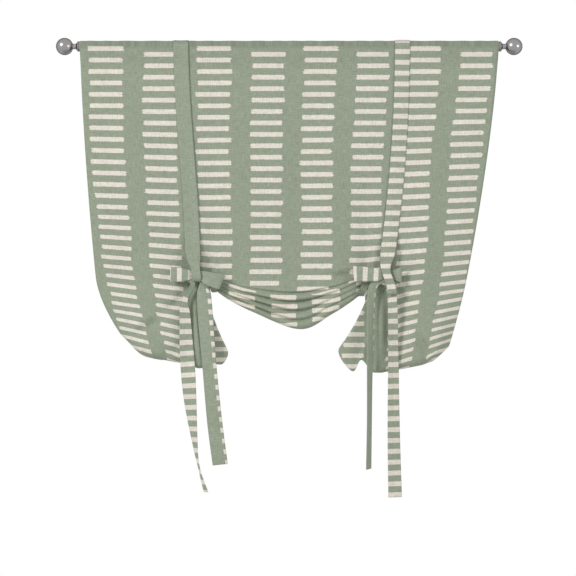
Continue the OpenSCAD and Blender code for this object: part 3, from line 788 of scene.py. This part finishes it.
def evenSteps(frames):
    step = np.linalg.norm(np.diff(frames[:, :3], axis=0), axis=1)
    s = np.concatenate([[0], np.cumsum(step)])
    places = np.linspace(0, s[-1], int(s[-1] / tie["spacing"]) + 1)
    out = np.stack([np.interp(places, s, frames[:, i]) for i in range(6)], 1)
    for passes in range(tie["smoothing"]):
        out[1:-1] = 0.25 * out[:-2] + 0.5 * out[1:-1] + 0.25 * out[2:]
    return out


def tieFrames(e, front, keys):
    k = -1 if front else 1
    turns = np.linspace(tie["overAngle"], 0, tie["overSteps"])
    frames = [overFrame(e, math.radians(a), k) for a in turns]
    drop = frontFrame if front else backFrame
    x1 = e * (bowX(e) + sideSizes[e]["strapOut"] if front else gatherX(e) - tie["backIn"])
    bottom = tie["frontEnd" if front else "backEnd"]
    heights = np.concatenate([[-6, -16, -28, -40, -56], np.linspace(-75, bottom, tie["dropSteps"])])
    frames += [drop(e, z, x1) for z in heights]
    frames += [keyFrame(e, key) for key in bendKeys(keys, tie["keySteps"])]
    return evenSteps(np.array(frames, float))


# The ribbon is a little crowned, and pleated where it is drawn in
def ribbonPoints(frames):
    middle, half = frames[:, :3], frames[:, 3:]
    ahead = np.gradient(middle, axis=0)
    normal = np.cross(half, ahead)
    normal /= np.maximum(np.linalg.norm(normal, axis=1), 1e-6)[:, None]
    a = np.linspace(-1, 1, tie["across"] + 1)
    drawn = 1 - np.clip(2 * np.linalg.norm(half, axis=1) / tie["width"], 0, 1)
    pleats = tie["pleat"] * drawn[:, None] * np.cos(3 * np.pi * a)[None, :]
    lift = tie["crown"] * (1 - a ** 2)[None, :] + pleats
    flat = middle[:, None, :] + half[:, None, :] * a[None, :, None]
    points = flat + normal[:, None, :] * lift[:, :, None]
    s = np.concatenate([[0], np.cumsum(np.linalg.norm(np.diff(middle, axis=0), axis=1))])
    uvs = np.stack(np.broadcast_arrays(a[None, :] * tie["width"] / 2, s[:, None]), -1)
    return points, uvs, s[-1]


def declareRibbon(piece, node, length):
    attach(piece, mainBody)
    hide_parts(node)
    print(piece.name, "length", round(length), "mm")


def buildTie(name, node, e, front, keys, material):
    points, uvs, length = ribbonPoints(tieFrames(e, front, keys))
    declareRibbon(gridPiece(name, points, uvs, [material], tie["thickness"]), node,
        length)


# How far the ends hang below the knots
tieEnds = {"leftInner": 524, "leftOuter": 600, "rightInner": 536, "rightOuter": 614}


def buildTies():
    n = tieEnds["leftInner"]
    keys = frontKeys(72, -16, (-12, -9, -5, -2)) + [
        [30, 13.5, -11, 30, 100, 0], [22, 13, -20, 24, 140, 0], [18, 14, -38, 30, 176, 0],
        [20, 19, -58, 40, 180, 0], [25, 23, -0.25 * n, 42, 182, 4], [36, 24, -0.5 * n, 40, 184, 10],
        [50, 24, -0.78 * n, 42, 186, 4], [65, 24, -n, 42, 186, 0]]
    buildTie("leftFrontTie", "left_front_tie", -1, True, keys, printedTie("tieTipsLeft"))
    n = tieEnds["leftOuter"]
    keys = backKeys(-1, 74) + [
        [-40, 10, 1, 38, 88, 0], [-28, 11, -6, 26, 75, 0], [-12, 13, -16, 15, 30, 0],
        [-14, 15, -32, 12, -25, 0], [-28, 18, -54, 13, -30, 0], [-36, 20, -76, 20, -12, 10],
        [-33, 21, -104, 29, -3, 14], [-28, 24, -0.34 * n, 38, 3, 8], [-18, 25, -0.58 * n, 42, 4, -34],
        [-3, 24, -0.8 * n, 38, 6, -70], [8, 24, -0.9 * n, 34, 10, -80], [26, 24, -n, 28, 10, -62]]
    buildTie("leftBackTie", "left_back_tie", -1, False, keys, printedTie("tieBarsLeft"))
    n = tieEnds["rightOuter"]
    keys = frontKeys(90, 3, (-6.5, -3, 1, 2)) + [
        [30, 13, -8, 28, 102, 0], [18, 12.3, -13, 20, 112, 0], [4, 12.2, -18, 18, 125, 0],
        [-9, 11.8, -30, 20, 145, 0], [-16, 14, -50, 24, 166, 0], [-18, 20, -76, 26, 173, 6],
        [-19, 25, -0.2 * n, 28, 178, 18], [-20, 25, -0.36 * n, 31, 180, 22],
        [-21, 25, -0.7 * n, 37, 180, 22], [-25, 25, -n, 40, 180, 18]]
    buildTie("rightFrontTie", "right_front_tie", 1, True, keys, printedTie("tieBarsRight"))
    n = tieEnds["rightInner"]
    keys = backKeys(1, 46) + [
        [-34, 10.5, -8, 32, 75, 0], [-26, 13, -20, 22, 60, 0], [-12, 15.5, -21, 17, 80, 0],
        [4, 15.4, -18, 16, 84, 0], [18, 15.6, -16, 18, 76, 0], [31, 17, -24, 22, 50, -4],
        [39, 19.5, -44, 24, 20, -14], [42, 22, -90, 25, 3, -32], [43, 25, -0.36 * n, 26, 0, -42],
        [45, 26, -0.5 * n, 30, 0, -58], [46, 26, -0.75 * n, 32, 0, -64], [48, 26, -n, 30, -4, -60]]
    buildTie("rightBackTie", "right_back_tie", 1, False, keys, printedTie("tieTipsRight"))


# The turn of each front tie over the crossing of its loops
knot = {"width": 24, "printFrom": 612}


def buildKnot(name, node, e, keys, material):
    frames = evenSteps(np.array([keyFrame(e, key) for key in bendKeys(keys, tie["keySteps"])], float))
    points, uvs, length = ribbonPoints(frames)
    uvs[:, :, 1] += knot["printFrom"]  # goes on from the strap above it
    declareRibbon(gridPiece(name, points, uvs, [material], tie["thickness"]), node,
        length)


def buildKnots():
    w = knot["width"]
    keys = [[-9, 12.1, 42, 36, 0, 0], [-6, 17.5, 26, 27, 0, 0], [-2, 23, 8, w, 0, 0],
        [0, 24.5, -6, w, 0, 0], [0, 20, -16, w - 5, 0, 0], [-1, 12, -18, w - 6, 0, 0],
        [-1, 3, -12, w - 6, 0, 0], [-1, 0.5, 0, w - 6, 0, 0], [-1, 2.5, 12, w - 6, 0, 0]]
    # the knot takes the ties' lighter green, painted light on the same cloth
    buildKnot("leftKnot", "left_knot", -1, keys, plainCloth("knotGreen", palette["greenTieLit"]))
    keys = [[-2, 12.1, 42, 35, 0, 0], [1, 17.5, 26, 28, 0, 0], [-1, 23.5, 8, w, 0, 0],
        [-8, 27, -12, w, -4, 0], [-15, 27, -34, w, -4, 0], [-18, 26, -52, w + 2, -2, 0]]
    buildKnot("rightKnot", "right_knot", 1, keys, printedTie("knotBars"))


def buildRod():
    metal, plastic = nickel(), blackPlastic()
    for node in ("rod_outer_tube", "rod_inner_tube", "left_finial", "right_finial"):
        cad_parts[node].data.materials.clear()
        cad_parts[node].data.materials.append(metal)
    for node in ("left_plug", "right_plug"):
        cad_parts[node].data.materials.clear()
        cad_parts[node].data.materials.append(plastic)


# The floor, the light all round it and the lamps, in metres
studio = {"world": 0.48, "floorZ": -1.8, "floorHalf": 1.15, "floor": (0.82, 0.82, 0.81),
    "floorRoughness": 0.9}
lights = {
    "key": {"place": (-4.4, -4.5, 2.0), "target": (0, 0, -0.5), "size": 1.8, "energy": 205.0},
    "fill": {"place": (3.3, -2.4, 0.1), "target": (0, 0, -0.6), "size": 1.0, "energy": 28.0}}


def addLight(name, place, target, size, energy):
    data = bpy.data.lights.new(name, "AREA")
    data.shape = "SQUARE"
    data.size = size
    data.energy = energy
    lamp = bpy.data.objects.new(name, data)
    lamp.location = place
    lamp.rotation_euler = (Vector(target) - Vector(place)).to_track_quat("-Z", "Y").to_euler()
    scene.collection.objects.link(lamp)


# Even light all round, and plain white where the camera or a reflection sees the background
def buildWorld():
    world = bpy.data.worlds.new("studioWorld")
    scene.world = world
    world.use_nodes = True
    tree = world.node_tree
    ambient = tree.nodes["Background"]
    ambient.inputs[0].default_value = (1, 1, 1, 1)
    ambient.inputs[1].default_value = studio["world"]
    white = tree.nodes.new("ShaderNodeBackground")
    white.inputs[0].default_value = (1, 1, 1, 1)
    white.inputs[1].default_value = 1.0
    path = tree.nodes.new("ShaderNodeLightPath")
    seen = calc(tree, "MAXIMUM", path.outputs["Is Camera Ray"], path.outputs["Is Glossy Ray"])
    seen = calc(tree, "MAXIMUM", seen, path.outputs["Is Transmission Ray"])
    mix = tree.nodes.new("ShaderNodeMixShader")
    tree.links.new(seen, mix.inputs[0])
    tree.links.new(ambient.outputs[0], mix.inputs[1])
    tree.links.new(white.outputs[0], mix.inputs[2])
    tree.links.new(mix.outputs[0], tree.nodes["World Output"].inputs[0])


def buildFloor():
    bm = bmesh.new()
    bmesh.ops.create_grid(bm, x_segments=1, y_segments=1, size=studio["floorHalf"])
    for vert in bm.verts:
        vert.co.z = studio["floorZ"]
    mesh = bpy.data.meshes.new("floor")
    bm.to_mesh(mesh)
    bm.free()
    floor = bpy.data.objects.new("floor", mesh)
    scene.collection.objects.link(floor)
    paint = newMaterial("floorPaint")
    shader = paint.node_tree.nodes["Principled BSDF"]
    shader.inputs["Base Color"].default_value = (*studio["floor"], 1)
    shader.inputs["Roughness"].default_value = studio["floorRoughness"]
    mesh.materials.append(paint)


# Places in metres, lens and sensor in millimetres
camera = {"place": (-0.0035, -5.0, -0.675), "lens": 111.8, "sensor": 36.0, "clipEnd": 50.0}


def buildCamera():
    data = bpy.data.cameras.new("photoView")
    data.lens = camera["lens"]
    data.sensor_width = camera["sensor"]
    data.clip_end = camera["clipEnd"]
    view = bpy.data.objects.new("photoView", data)
    view.location = camera["place"]
    view.rotation_euler = (math.radians(90), 0, 0)
    scene.collection.objects.link(view)
    scene.camera = view


buildPanel()
buildTies()
buildKnots()
print("ties and knots made")
buildRod()
print("rod dressed")
buildWorld()
buildFloor()
for lightName, light in lights.items():
    addLight(lightName, **light)
buildCamera()
print("stage and camera set")
